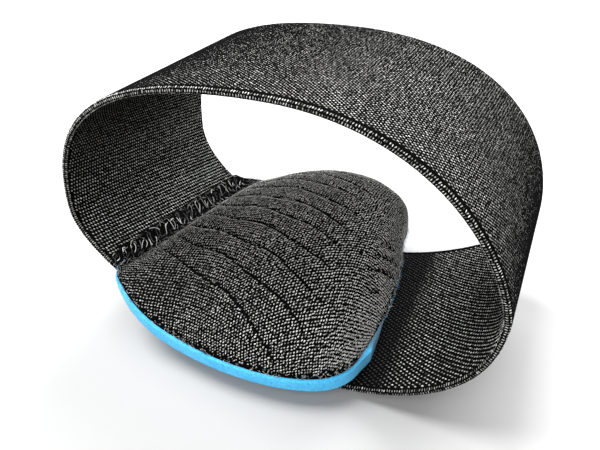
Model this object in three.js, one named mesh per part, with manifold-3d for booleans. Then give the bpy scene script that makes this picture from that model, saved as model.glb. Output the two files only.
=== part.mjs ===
// Arch support strap: a closed loop of woven elastic with a domed foam pad sewn to its inner face.
// Millimetres, +Z up. The foot goes through the loop along Y, and the loop rests on its floor run at Z = 0.

import * as THREE from 'three';
import Module from 'manifold-3d';

const wasm = await Module();
wasm.setup();

// Band: stock elastic webbing, with a rounded selvedge bead set off by a groove along each edge.
// inset is the distance in from the edge, and share the part of the full wall that stands there.
const BAND_WIDTH = 50;
const BAND_WALL = 1.8;
const SELVEDGE_ROWS = [
  { inset: 0.0, share: 0.45 },
  { inset: 0.4, share: 1.0 },
  { inset: 1.2, share: 1.0 },
  { inset: 1.6, share: 0.65 },
  { inset: 2.0, share: 1.0 },
];

// Loop: the middle of the wall along its two edges, seen along Y, as a floor run and three turning points.
// below, above, left and right are the lengths of the curves' handles there.
const FLOOR_RUN = { left: -7, right: 11, leftHandle: 7, rightHandle: 10 };
const NEAR_EDGE = {
  rightTurn: { x: 45.4, z: 28.6, below: 21.9, above: 3.9 },
  topTurn: { x: 3.8, z: 58.5, right: 34.2, left: 36.9 },
  leftTurn: { x: -45.8, z: 26.3, above: 19.4, below: 12.9 },
};
const FAR_EDGE = {
  rightTurn: { x: 45.8, z: 23.3, below: 11.0, above: 9.2 },
  topTurn: { x: -0.5, z: 58.3, right: 41.6, left: 38.0 },
  leftTurn: { x: -45.4, z: 27.7, above: 19.5, below: 16.7 },
};
const CURVE_STEPS = 17;

// Pad: slanted sections from the flange on the band, across the seam, to the free end.
// near and far are the outline's ends at -Y and +Y, rim is the height of the cover's edge over the
// pad's underside, and crown the height of the dome over that edge.
const PAD_SECTIONS = [
  { xNear: -37.4, near: -24.8, xFar: -34.6, far: 24.4, rim: 0.0, crown: 1.0 },
  { xNear: -35.2, near: -25.4, xFar: -32.2, far: 24.8, rim: 0.7, crown: 1.0 },
  { xNear: -33.2, near: -28.1, xFar: -29.8, far: 25.8, rim: 1.2, crown: 1.8 },
  { xNear: -30.4, near: -29.9, xFar: -26.4, far: 27.4, rim: 2.1, crown: 4.6 },
  { xNear: -25.0, near: -32.1, xFar: -21.4, far: 30.4, rim: 2.7, crown: 9.6 },
  { xNear: -16.0, near: -33.3, xFar: -14.0, far: 33.0, rim: 2.7, crown: 15.4 },
  { xNear: -5.0, near: -34.1, xFar: -5.0, far: 34.1, rim: 2.7, crown: 19.3 },
  { xNear: 5.0, near: -33.5, xFar: 4.0, far: 33.2, rim: 2.7, crown: 20.8 },
  { xNear: 12.6, near: -31.7, xFar: 11.0, far: 30.8, rim: 2.7, crown: 20.1 },
  { xNear: 17.6, near: -28.8, xFar: 16.6, far: 27.6, rim: 2.7, crown: 16.6 },
  { xNear: 20.6, near: -24.4, xFar: 17.6, far: 21.2, rim: 2.7, crown: 9.6 },
  { xNear: 21.8, near: -18.5, xFar: 19.2, far: 13.4, rim: 2.7, crown: 0.0 },
];
const SECTION_STEPS = 2;
const SEAM_SECTION = 1;
const PAD_BASE = { level: 4.4, slope: 0.62, kneeX: -19.85, softness: 3.2 };
const FREE_END = { from: 6, to: 21 };
const ARCH_POWER = 2.4;
const FOAM_STEPS = 16;
const COVER_STEPS = 36;
const COVER_WALL = 1.5;
const PIECE_GAP = 0.3;

// Sewn creases: parallel lines on the cover, y = offset + slope * x in plan. foot is the share of the
// width left at the bottom of the groove, and fade the length over which a groove runs out.
const CREASES = { first: -29, spacing: 5.27, count: 10, slope: -0.35, width: 1.6, depth: 0.7, foot: 0.25 };
const CREASE_REACH = { from: -22, to: 13, fade: 6, edge: 0.93 };
const TANGENT_STEP = 0.01;

// Looks: matte black elastic and knit over blue foam.
const ELASTIC = { color: 0x2a2a2b, roughness: 0.92 };
const FOAM = { color: 0x46b8f2, roughness: 0.85 };
const KNIT = { color: 0x262626, roughness: 0.95 };

/** One closed mesh through equal rings of points; open lofts are capped by strips across each end ring. */
function loft(rings, closed) {
  const count = rings[0].length;
  const index = [];
  const quad = (a, b, c, d) => index.push(a, b, c, a, c, d);
  const joints = closed ? rings.length : rings.length - 1;
  for (let i = 0; i < joints; i += 1) {
    const here = i * count;
    const next = ((i + 1) % rings.length) * count;
    for (let j = 0; j < count; j += 1) {
      const k = (j + 1) % count;
      quad(here + j, here + k, next + k, next + j);
    }
  }
  if (!closed) {
    const last = (rings.length - 1) * count;
    for (let j = 0; j < count / 2 - 1; j += 1) {
      const partner = count - 1 - j;
      quad(partner, partner - 1, j + 1, j);
      quad(last + j, last + j + 1, last + partner - 1, last + partner);
    }
  }
  const geometry = new THREE.BufferGeometry();
  const points = rings.flat().flatMap((p) => [p.x, p.y, p.z]);
  geometry.setAttribute('position', new THREE.Float32BufferAttribute(points, 3));
  geometry.setIndex(index);
  return geometry;
}

/** The solid body of a closed geometry, for cutting. */
function toSolid(geometry) {
  const vertProperties = geometry.getAttribute('position').array;
  const triVerts = Uint32Array.from(geometry.index.array);
  return new wasm.Manifold(new wasm.Mesh({ numProp: 3, vertProperties, triVerts }));
}

/** The geometry of a solid body after cutting. */
function toGeometry(solid) {
  const { vertProperties, triVerts } = solid.getMesh();
  const geometry = new THREE.BufferGeometry();
  geometry.setAttribute('position', new THREE.BufferAttribute(vertProperties, 3));
  geometry.setIndex(new THREE.BufferAttribute(triVerts, 1));
  return geometry;
}

/** A named piece with its own matte material. */
function piece(name, geometry, { color, roughness }) {
  geometry.computeVertexNormals();
  const material = new THREE.MeshStandardMaterial({ color, roughness, metalness: 0 });
  const mesh = new THREE.Mesh(geometry, material);
  mesh.name = name;
  return mesh;
}

/** The band's cross-section, as width along Y and distance out of the wall's middle. */
function bandSection() {
  const half = BAND_WIDTH / 2;
  const halfWall = BAND_WALL / 2;
  const nearEdge = SELVEDGE_ROWS.map(({ inset, share }) => ({ y: inset - half, out: share * halfWall }));
  const farEdge = nearEdge.map(({ y, out }) => ({ y: -y, out })).reverse();
  const outside = [...nearEdge, ...farEdge];
  const inside = outside.map(({ y, out }) => ({ y, out: -out })).reverse();
  return [...outside, ...inside];
}

/** One edge's middle line with its outward directions, once round from the right end of the floor run. */
function edgeStations({ rightTurn, topTurn, leftTurn }) {
  const at = (x, z) => new THREE.Vector2(x, z);
  const floorZ = BAND_WALL / 2;
  const { left, right, leftHandle, rightHandle } = FLOOR_RUN;
  const floorRight = at(right, floorZ);
  const floorLeft = at(left, floorZ);
  const rightMost = at(rightTurn.x, rightTurn.z);
  const topMost = at(topTurn.x, topTurn.z);
  const leftMost = at(leftTurn.x, leftTurn.z);
  const below = ({ x, z, below: handle }) => at(x, z - handle);
  const above = ({ x, z, above: handle }) => at(x, z + handle);
  const topRight = at(topTurn.x + topTurn.right, topTurn.z);
  const topLeft = at(topTurn.x - topTurn.left, topTurn.z);
  const curves = [
    [floorRight, at(right + rightHandle, floorZ), below(rightTurn), rightMost],
    [rightMost, above(rightTurn), topRight, topMost],
    [topMost, topLeft, above(leftTurn), leftMost],
    [leftMost, below(leftTurn), at(left - leftHandle, floorZ), floorLeft],
  ].map((knots) => new THREE.CubicBezierCurve(...knots));
  return curves.flatMap((curve, order) => {
    const first = order === 0 ? 0 : 1;
    const shares = Array.from({ length: CURVE_STEPS + 1 - first }, (_, i) => (i + first) / CURVE_STEPS);
    return shares.map((share) => {
      const along = curve.getTangentAt(share);
      return { middle: curve.getPointAt(share), out: at(along.y, -along.x) };
    });
  });
}

/** The band: its cross-section carried round the loop, blended from the near edge to the far one. */
function bandGeometry() {
  const section = bandSection();
  const farStations = edgeStations(FAR_EDGE);
  const rings = edgeStations(NEAR_EDGE).map((near, i) => {
    const far = farStations[i];
    return section.map(({ y, out }) => {
      const share = y / BAND_WIDTH + 0.5;
      const middle = near.middle.clone().lerp(far.middle, share);
      const point = near.out.clone().lerp(far.out, share).normalize().multiplyScalar(out).add(middle);
      return new THREE.Vector3(point.x, y, point.y);
    });
  });
  return loft(rings, true);
}

/** Height of the pad's underside: it leaves the band at the seam and levels off over the floor run. */
function padBase(x) {
  const { level, slope, kneeX, softness } = PAD_BASE;
  const rise = slope * (kneeX - x);
  return level + (rise + Math.hypot(rise, softness)) / 2;
}

/** A value between two rows of a column, on a smooth curve through its neighbours. */
function smoothColumn(rows, column, row, share) {
  const value = (i) => rows[Math.min(Math.max(i, 0), rows.length - 1)][column];
  const [before, here, next, after] = [row - 1, row, row + 1, row + 2].map(value);
  const start = (next - before) / 2;
  const end = (after - here) / 2;
  const bend = 3 * (next - here) - 2 * start - end;
  const twist = 2 * (here - next) + start + end;
  return here + share * (start + share * (bend + share * twist));
}

/** All of the pad's sections, with steps added between the rows of the table. */
function padSections() {
  const columns = Object.keys(PAD_SECTIONS[0]);
  const total = (PAD_SECTIONS.length - 1) * SECTION_STEPS;
  return Array.from({ length: total + 1 }, (_, i) => {
    const row = Math.min(Math.floor(i / SECTION_STEPS), PAD_SECTIONS.length - 2);
    const share = i / SECTION_STEPS - row;
    const entry = (column) => [column, smoothColumn(PAD_SECTIONS, column, row, share)];
    return Object.fromEntries(columns.map(entry));
  });
}

/** The same section of a smaller pad, drawn in from the outline and from the free end. */
function drawnIn(section, inset) {
  const back = inset * THREE.MathUtils.smoothstep(section.xNear, FREE_END.from, FREE_END.to);
  return {
    xNear: section.xNear - back,
    xFar: section.xFar - back,
    near: section.near + inset,
    far: section.far - inset,
    rim: section.rim,
    crown: Math.max(section.crown - inset, 0),
  };
}

/** A point of a section's arch, at v from -1 on the near edge to 1 on the far edge. */
function archPoint(section, v) {
  const share = (v + 1) / 2;
  const x = THREE.MathUtils.lerp(section.xNear, section.xFar, share);
  const y = THREE.MathUtils.lerp(section.near, section.far, share);
  const arch = Math.sqrt(Math.max(1 - Math.abs(v) ** ARCH_POWER, 0));
  return new THREE.Vector3(x, y, padBase(x) + section.rim + section.crown * arch);
}

/** Steps from 1 to -1 that crowd towards both ends, where an arch is steep. */
function archSteps(count) {
  return Array.from({ length: count + 1 }, (_, i) => Math.cos((Math.PI * i) / count));
}

/** The foam: a dome that fills the cover, on a rim that shows below the cover's edge. */
function foamGeometry() {
  const steps = archSteps(FOAM_STEPS);
  const lowered = (p) => new THREE.Vector3(p.x, p.y, p.z - PIECE_GAP);
  const ring = (section, inset) => {
    const rim = [1, -1].map((v) => lowered(archPoint({ ...section, crown: 0 }, v)));
    const dome = steps.map((v) => lowered(archPoint(drawnIn(section, inset), v)));
    const top = [rim[0], ...dome, rim[1]];
    const base = top.map((p) => new THREE.Vector3(p.x, p.y, padBase(p.x))).reverse();
    return [...top, ...base];
  };
  const sections = padSections().slice(SEAM_SECTION * SECTION_STEPS);
  const rings = sections.map((section) => ring(section, COVER_WALL + PIECE_GAP));
  rings.push(ring(sections.at(-1), PIECE_GAP));
  return loft(rings, false);
}

/** The tool that presses one crease: a thin wedge along the top of the cover. */
function creaseCutter(sections, offset) {
  const { slope, width, depth, foot } = CREASES;
  const { from, to, fade, edge } = CREASE_REACH;
  const rings = sections.flatMap((section) => {
    const middle = archPoint({ ...section, crown: 0 }, 0);
    const acrossY = (section.far - section.near) / 2;
    const acrossX = (section.xFar - section.xNear) / 2;
    const v = (offset - middle.y + slope * middle.x) / (acrossY - slope * acrossX);
    const inReach = middle.x > from && middle.x < to && Math.abs(v) < edge;
    if (!inReach) return [];
    const top = archPoint(section, v);
    const ahead = archPoint(section, v + TANGENT_STEP);
    const behind = archPoint(section, v - TANGENT_STEP);
    const along = ahead.sub(behind).setX(0).normalize();
    const out = new THREE.Vector3(0, -along.z, along.y);
    const strength = Math.min(middle.x - from, to - middle.x, fade) / fade;
    const place = (side, height) => top.clone().addScaledVector(along, side).addScaledVector(out, height);
    const half = (width / 2) * strength;
    const narrow = half * foot;
    const bottom = -depth * strength;
    return [[place(half, depth), place(-half, depth), place(-narrow, bottom), place(narrow, bottom)]];
  });
  return rings.length > 2 ? toSolid(loft(rings, false)) : null;
}

/** The cover: a knitted shell over the dome, pressed in along its sewn creases. */
function coverGeometry() {
  const steps = archSteps(COVER_STEPS);
  const sections = padSections();
  const rings = sections.map((section) => {
    const outside = steps.map((v) => archPoint(section, v));
    const inside = steps.map((v) => archPoint(drawnIn(section, COVER_WALL), v)).reverse();
    return [...outside, ...inside];
  });
  let shell = toSolid(loft(rings, false));
  for (let i = 0; i < CREASES.count; i += 1) {
    const cutter = creaseCutter(sections, CREASES.first + i * CREASES.spacing);
    if (cutter) shell = shell.subtract(cutter);
  }
  return toGeometry(shell);
}

const strap = new THREE.Group();
strap.add(
  piece('elastic_band', bandGeometry(), ELASTIC),
  piece('pad_foam', foamGeometry(), FOAM),
  piece('pad_cover', coverGeometry(), KNIT),
);

export default strap;
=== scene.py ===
"""Looks of an arch support strap: a woven elastic loop with a knitted cover over blue foam, and its studio.

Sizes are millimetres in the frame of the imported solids. They turn to metres where a mesh is made.
"""

import logging
import math
from dataclasses import dataclass, field, replace
from enum import Enum
from functools import cached_property
from typing import Any, Sequence

import bmesh
import bpy
import numpy as np
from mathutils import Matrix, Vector


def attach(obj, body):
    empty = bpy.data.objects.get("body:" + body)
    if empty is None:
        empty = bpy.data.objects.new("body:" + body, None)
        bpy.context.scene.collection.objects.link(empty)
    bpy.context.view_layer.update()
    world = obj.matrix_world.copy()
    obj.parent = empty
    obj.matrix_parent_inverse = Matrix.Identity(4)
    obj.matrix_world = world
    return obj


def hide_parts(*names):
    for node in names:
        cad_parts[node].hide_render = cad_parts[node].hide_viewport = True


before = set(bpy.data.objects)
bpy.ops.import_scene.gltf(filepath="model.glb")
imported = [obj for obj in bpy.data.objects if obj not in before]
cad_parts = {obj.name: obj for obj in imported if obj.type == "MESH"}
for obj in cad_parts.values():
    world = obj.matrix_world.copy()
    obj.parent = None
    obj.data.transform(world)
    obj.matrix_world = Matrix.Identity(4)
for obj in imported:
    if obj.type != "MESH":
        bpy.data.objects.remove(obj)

LOG = logging.getLogger("strap")
MM = 0.001
BODY = "root"
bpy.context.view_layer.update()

Array = np.ndarray
Colour = tuple[float, float, float]


class Slot(Enum):
    """The record's material slots."""

    ELASTIC = "elastic"
    FOAM = "foam"
    KNIT = "knit"


class Face(Enum):
    """The two faces of the band, as the sign of the way out of its wall."""

    OUTER = 1.0
    INNER = -1.0


# Small number helpers


def unit(vectors: Array) -> Array:
    """Vectors of length one along the last axis."""
    return vectors / np.maximum(np.linalg.norm(vectors, axis=-1, keepdims=True), 1e-12)


def smoothstep(values: Array, low: float, high: float) -> Array:
    """A smooth ramp from 0 at low to 1 at high."""
    share = np.clip((values - low) / (high - low), 0.0, 1.0)
    return share * share * (3.0 - 2.0 * share)


def bell(values: Array, width: float) -> Array:
    """A soft hump of height 1 at zero."""
    return np.exp(-((values / width) ** 2))


def run_length(points: Array) -> Array:
    """Distance along a line of points, from its first point."""
    return np.concatenate([[0.0], np.cumsum(np.linalg.norm(np.diff(points, axis=0), axis=1))])


def varied(
    size: Sequence[float], spread: float, draw: np.random.Generator, count: int, most: float = 1.4
) -> Array:
    """Sizes of this many grains, each drawn round the usual size and kept within limits."""
    return np.array(size) * np.clip(draw.normal(1.0, spread, (count, len(size))), 0.6, most)


def bilinear(grid: Array, row: Array, column: Array) -> Array:
    """Points of a grid between its rows and columns.

    Args:
        grid: Points by row and column.
        row: Row numbers with fractions.
        column: Column numbers with fractions.

    Returns:
        One point for each pair of numbers.
    """
    i = np.clip(np.floor(row).astype(int), 0, grid.shape[0] - 2)
    j = np.clip(np.floor(column).astype(int), 0, grid.shape[1] - 2)
    a = (row - i)[..., None]
    b = (column - j)[..., None]
    low = grid[i, j] * (1 - b) + grid[i, j + 1] * b
    high = grid[i + 1, j] * (1 - b) + grid[i + 1, j + 1] * b
    return low * (1 - a) + high * a


# Shader values and finishes


class Signal:
    """A shader value whose arithmetic adds Math nodes to its bench."""

    def __init__(self, bench: "Bench", socket: bpy.types.NodeSocket | None) -> None:
        """Keeps the bench and the socket that the value comes from, none for an output node."""
        self.bench = bench
        self.socket = socket

    def _math(self, operation: str, *values: Any) -> "Signal":
        """A Math node on these values."""
        return self.bench.node("ShaderNodeMath", {"operation": operation}, dict(enumerate(values)))

    def __add__(self, other: Any) -> "Signal":
        """The sum."""
        return self._math("ADD", self, other)

    __radd__ = __add__

    def __sub__(self, other: Any) -> "Signal":
        """The difference."""
        return self._math("SUBTRACT", self, other)

    def __mul__(self, other: Any) -> "Signal":
        """The product."""
        return self._math("MULTIPLY", self, other)

    __rmul__ = __mul__


class Bench:
    """The node tree of one material."""

    def __init__(self, name: str) -> None:
        """Starts an empty material.

        Args:
            name: The material's name.
        """
        self.material = bpy.data.materials.new(name)
        self.material.use_nodes = True
        self.tree = self.material.node_tree
        self.tree.nodes.clear()

    def node(self, kind: str, settings: dict[str, Any], inputs: dict[Any, Any], output: Any = 0) -> Signal:
        """Adds a node.

        Args:
            kind: The node's type.
            settings: Its own settings, set before its sockets.
            inputs: Values or signals by socket name or number.
            output: The name or number of the output that is wanted, or None.

        Returns:
            The wanted output as a signal.
        """
        made = self.tree.nodes.new(kind)
        for key, value in settings.items():
            setattr(made, key, value)
        for key, value in inputs.items():
            if isinstance(value, Signal):
                self.tree.links.new(value.socket, made.inputs[key])
            else:
                made.inputs[key].default_value = value
        return Signal(self, None if output is None else made.outputs[output])

    def attribute(self, name: str) -> Signal:
        """A number that the mesh carries at its points."""
        return self.node("ShaderNodeAttribute", {"attribute_name": name}, {}, "Fac")

    def noise(self, per_mm: float, detail: float = 2.0) -> Signal:
        """Soft noise on object coordinates.

        Args:
            per_mm: Lumps in a millimetre.
            detail: How fine the noise gets inside a lump.

        Returns:
            The noise, from 0 to 1.
        """
        place = self.node("ShaderNodeTexCoord", {}, {}, "Object")
        inputs = {"Vector": place, "Scale": per_mm / MM, "Detail": detail}
        return self.node("ShaderNodeTexNoise", {}, inputs, "Fac")

    def blend(self, factor: Any, first: Colour, second: Colour) -> Signal:
        """A colour between two colours."""
        inputs = {0: factor, 6: (*first, 1.0), 7: (*second, 1.0)}
        return self.node("ShaderNodeMix", {"data_type": "RGBA"}, inputs, 2)

    def bump(self, height: Signal, depth_mm: float, strength: float) -> Signal:
        """Normals of a bumped surface."""
        inputs = {"Height": height, "Distance": depth_mm * MM, "Strength": strength}
        return self.node("ShaderNodeBump", {}, inputs, "Normal")

    def finish(self, inputs: dict[str, Any]) -> bpy.types.Material:
        """Closes the tree with a Principled shader.

        Args:
            inputs: Its values or signals by socket name.

        Returns:
            The material.
        """
        surface = self.node("ShaderNodeBsdfPrincipled", {}, inputs, "BSDF")
        self.node("ShaderNodeOutputMaterial", {}, {"Surface": surface}, None)
        return self.material


@dataclass(frozen=True)
class Finish:
    """A matt surface between two colours, with one noise in its colour, roughness and relief.

    Args:
        name: The material's name.
        dark, light: The two colours.
        grain_per_mm, detail: Lumps of the noise in a millimetre, and how fine it gets inside them.
        roughness, swing: The middle of the roughness, and how far the noise moves it.
        bump_mm, strength: Depth of the relief, and the share of it that shows.
        sheen, sheen_roughness: How much light its fibres catch at a low angle, and how softly.
        gloss: Strength of the plain reflection.
    """

    name: str
    dark: Colour
    light: Colour
    grain_per_mm: float
    detail: float = 3.0
    roughness: float = 0.85
    swing: float = 0.2
    bump_mm: float = 0.25
    strength: float = 0.8
    sheen: float = 0.0
    sheen_roughness: float = 0.5
    gloss: float = 0.0

    def mix(self, bench: Bench, grain: Signal) -> Signal:
        """Share of the light colour, which each kind of finish finds in its own way."""
        raise NotImplementedError

    def material(self) -> bpy.types.Material:
        """Builds the material.

        Returns:
            The material.
        """
        bench = Bench(self.name)
        grain = bench.noise(self.grain_per_mm, self.detail)
        return bench.finish({
            "Base Color": bench.blend(self.mix(bench, grain), self.dark, self.light),
            "Roughness": self.roughness + self.swing * (grain - 0.5),
            "Normal": bench.bump(grain, self.bump_mm, self.strength),
            "Sheen Weight": self.sheen,
            "Sheen Roughness": self.sheen_roughness,
            "Specular IOR Level": self.gloss,
        })


@dataclass(frozen=True)
class YarnFinish(Finish):
    """Bright yarn floats, threads and fibres, each with its own tone from the mesh."""

    grain_per_mm: float = 7.0
    detail: float = 1.0
    roughness: float = 0.6
    bump_mm: float = 0.05
    strength: float = 0.5
    gloss: float = 0.1

    def mix(self, bench: Bench, grain: Signal) -> Signal:
        """The mesh's tone, broken up by the grain."""
        return bench.attribute("tone") * (0.75 + 0.5 * grain)


@dataclass(frozen=True)
class GroundFinish(Finish):
    """The dark cloth between the floats, faintly mottled."""

    grain_per_mm: float = 2.2
    patches_per_mm: float = 0.12
    sheen: float = 0.005
    sheen_roughness: float = 0.4

    def mix(self, bench: Bench, grain: Signal) -> Signal:
        """The grain, stronger and weaker in large patches."""
        return grain * (0.5 + bench.noise(self.patches_per_mm))


@dataclass(frozen=True)
class FoamFinish(Finish):
    """Blue foam with a felt-like cut edge."""

    grain_per_mm: float = 2.6
    clouds_per_mm: float = 0.35
    bump_mm: float = 0.3
    strength: float = 0.7
    sheen: float = 0.1
    gloss: float = 0.2

    def mix(self, bench: Bench, grain: Signal) -> Signal:
        """Speckles over soft clouds."""
        return grain * 1.5 + bench.noise(self.clouds_per_mm) * 0.5 - 0.5


@dataclass(frozen=True)
class FloorFinish:
    """A plain pale floor."""

    name: str = "studio_floor"
    colour: Colour = (0.383, 0.383, 0.383)

    def material(self) -> bpy.types.Material:
        """Builds the material."""
        bench = Bench(self.name)
        return bench.finish({"Base Color": (*self.colour, 1.0), "Roughness": 0.9, "Specular IOR Level": 0.0})


# Meshes


def piece_from_mesh(name: str, mesh: bpy.types.Mesh) -> bpy.types.Object:
    """Links a mesh as a smooth object at the origin.

    Args:
        name: The object's name.
        mesh: The mesh.

    Returns:
        The new object.
    """
    mesh.shade_smooth()
    made = bpy.data.objects.new(name, mesh)
    bpy.context.scene.collection.objects.link(made)
    return made


def set_tones(mesh: bpy.types.Mesh, tones: Array) -> None:
    """Gives each of the mesh's equal, joined shapes a tone at its points."""
    layer = mesh.attributes.new("tone", "FLOAT", "POINT")
    layer.data.foreach_set("value", np.repeat(tones, len(mesh.vertices) // len(tones)).astype(np.float32))


def grid_piece(name: str, points: Array, closed: bool = False, thickness: float = 0.0) -> bpy.types.Object:
    """A surface through a grid of points.

    Args:
        name: The piece's name.
        points: Places in millimetres by row and column. A closed grid's ends fall on its starts.
        closed: Whether rows and columns close on themselves, so that their ends are merged.
        thickness: The wall to give an open sheet, inwards, in millimetres.

    Returns:
        The new object, with the grid's own map of its surface.
    """
    rows, columns = points.shape[:2]
    shell = bmesh.new()
    layer = shell.loops.layers.uv.new("OFBake")
    bmesh.ops.create_grid(shell, x_segments=rows - 1, y_segments=columns - 1, size=1.0, calc_uvs=True)
    for vertex in shell.verts:
        row = round((vertex.co.x + 1) / 2 * (rows - 1))
        column = round((vertex.co.y + 1) / 2 * (columns - 1))
        vertex.co = Vector(points[row, column] * MM)
    if closed:
        bmesh.ops.remove_doubles(shell, verts=shell.verts, dist=1e-7)
        bmesh.ops.recalc_face_normals(shell, faces=shell.faces)
    if thickness:
        shell.normal_update()
        outer = set(shell.faces)
        bmesh.ops.solidify(shell, geom=shell.faces[:], thickness=thickness * MM)
        for face in shell.faces:
            for loop in face.loops:
                loop[layer].uv.x = loop[layer].uv.x / 2 + (0.0 if face in outer else 0.5)
    mesh = bpy.data.meshes.new(name)
    shell.to_mesh(mesh)
    shell.free()
    return piece_from_mesh(name, mesh)


@dataclass
class Strands:
    """Many small yarn floats, each a slim closed grain on its own axes.

    Args:
        centres: Their places in millimetres.
        along: Unit vectors down each float.
        out: Unit vectors out of the cloth.
        sizes: Half length, half width and height of each, in millimetres.
        tone: A lightness for each float, from 0 to 1.
    """

    centres: Array
    along: Array
    out: Array
    sizes: Array
    tone: Array

    SIDES = 3
    RINGS = 3
    CELL_FILL = 0.9

    @classmethod
    def grain(cls) -> tuple[Array, Array, Array]:
        """Makes one grain, with its ends on Z and its ridge on X.

        Returns:
            Its points, its triangles and their corners' places on the map.
        """
        seed = bmesh.new()
        layer = seed.loops.layers.uv.new("map")
        bmesh.ops.create_uvsphere(
            seed, u_segments=cls.SIDES, v_segments=cls.RINGS, radius=1.0, calc_uvs=True
        )
        bmesh.ops.triangulate(seed, faces=seed.faces)
        seed.verts.index_update()
        points = np.array([v.co for v in seed.verts])
        faces = np.array([[v.index for v in f.verts] for f in seed.faces])
        corners = np.array([[loop[layer].uv for loop in f.loops] for f in seed.faces])
        seed.free()
        return points, faces, corners

    def piece(self, name: str) -> bpy.types.Object:
        """Joins all the floats, with a tone at each point and a map cell for each float.

        Args:
            name: The object's name.

        Returns:
            The new object.
        """
        points, faces, corners = self.grain()
        count = len(self.centres)
        side = unit(np.cross(self.out, self.along))
        axes = np.stack([np.cross(self.along, side), side, self.along], axis=1) * self.sizes[:, ::-1, None]
        places = self.centres[:, None] + np.einsum("pk,nkd->npd", points, axes)
        triangles = np.arange(count)[:, None, None] * len(points) + faces[None]
        mesh = bpy.data.meshes.new(name)
        mesh.from_pydata((places.reshape(-1, 3) * MM).tolist(), [], triangles.reshape(-1, 3).tolist())
        set_tones(mesh, self.tone)
        across = math.ceil(math.sqrt(count))
        cells = np.stack([np.arange(count) % across, np.arange(count) // across], axis=1)
        places_on_map = (cells[:, None, None] + corners[None] * self.CELL_FILL) / across
        layer = mesh.uv_layers.new(name="OFBake")
        layer.uv.foreach_set("vector", places_on_map.reshape(-1).astype(np.float32))
        return piece_from_mesh(name, mesh)


def thread_piece(
    name: str, paths: Array, radii: Array | float, tones: Array, tip: float = 1.0
) -> bpy.types.Object:
    """Round threads along open paths, as one mesh.

    Args:
        name: The piece's name.
        paths: Points of each thread in millimetres, as many for each.
        radii: Half the thickness of each thread.
        tones: A lightness for each thread, from 0 to 1.
        tip: Share of the thickness that is left at the far end.

    Returns:
        The new object.
    """
    route = bpy.data.curves.new(name + "_route", "CURVE")
    route.dimensions = "3D"
    route.bevel_depth = MM
    route.bevel_resolution = 0
    route.use_fill_caps = True
    for path, radius in zip(paths, np.broadcast_to(radii, len(paths))):
        spline = route.splines.new("POLY")
        spline.points.add(len(path) - 1)
        spline.points.foreach_set("co", np.column_stack([path * MM, np.ones(len(path))]).ravel())
        spline.points.foreach_set("radius", radius * np.linspace(1.0, tip, len(path)))
    guide = bpy.data.objects.new(name + "_route", route)
    bpy.context.scene.collection.objects.link(guide)
    bpy.context.view_layer.update()
    mesh = bpy.data.meshes.new_from_object(guide.evaluated_get(bpy.context.evaluated_depsgraph_get()))
    mesh.name = name
    bpy.data.objects.remove(guide)
    bpy.data.curves.remove(route)
    set_tones(mesh, tones)
    return piece_from_mesh(name, mesh)


def loose_fibres(roots: Array, ways: Array, lengths: Array, draw: np.random.Generator) -> Array:
    """Short curved fibres.

    Args:
        roots: Where each starts, in millimetres.
        ways: Unit vectors that they set out along.
        lengths: Their lengths.
        draw: The source of their bends.

    Returns:
        Four points for each fibre.
    """
    bend = unit(draw.normal(size=roots.shape)) * 0.6
    share = np.linspace(0, 1, 4)[None, :, None]
    return roots[:, None] + lengths[:, None, None] * (ways[:, None] * share + bend[:, None] * share**2)


def dress(piece: bpy.types.Object, material: bpy.types.Material, node: str) -> bpy.types.Object:
    """Gives a piece its finish and its body, and hides the solid that it stands for.

    Args:
        piece: The finished object.
        material: Its only material.
        node: The name of the solid that it replaces.

    Returns:
        The same object.
    """
    piece.data.materials.clear()
    piece.data.materials.append(material)
    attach(piece, BODY)
    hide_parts(node)
    LOG.info("%s: %d faces", piece.name, len(piece.data.polygons))
    return piece


# The band


@dataclass(frozen=True)
class Turn:
    """A place where the loop's edge stops going out: its place and the handles before and after it."""

    x: float
    z: float
    before: float
    after: float


@dataclass(frozen=True)
class Edge:
    """The middle of the band's wall along one of its edges, seen along the foot."""

    right: Turn
    top: Turn
    left: Turn


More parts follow.
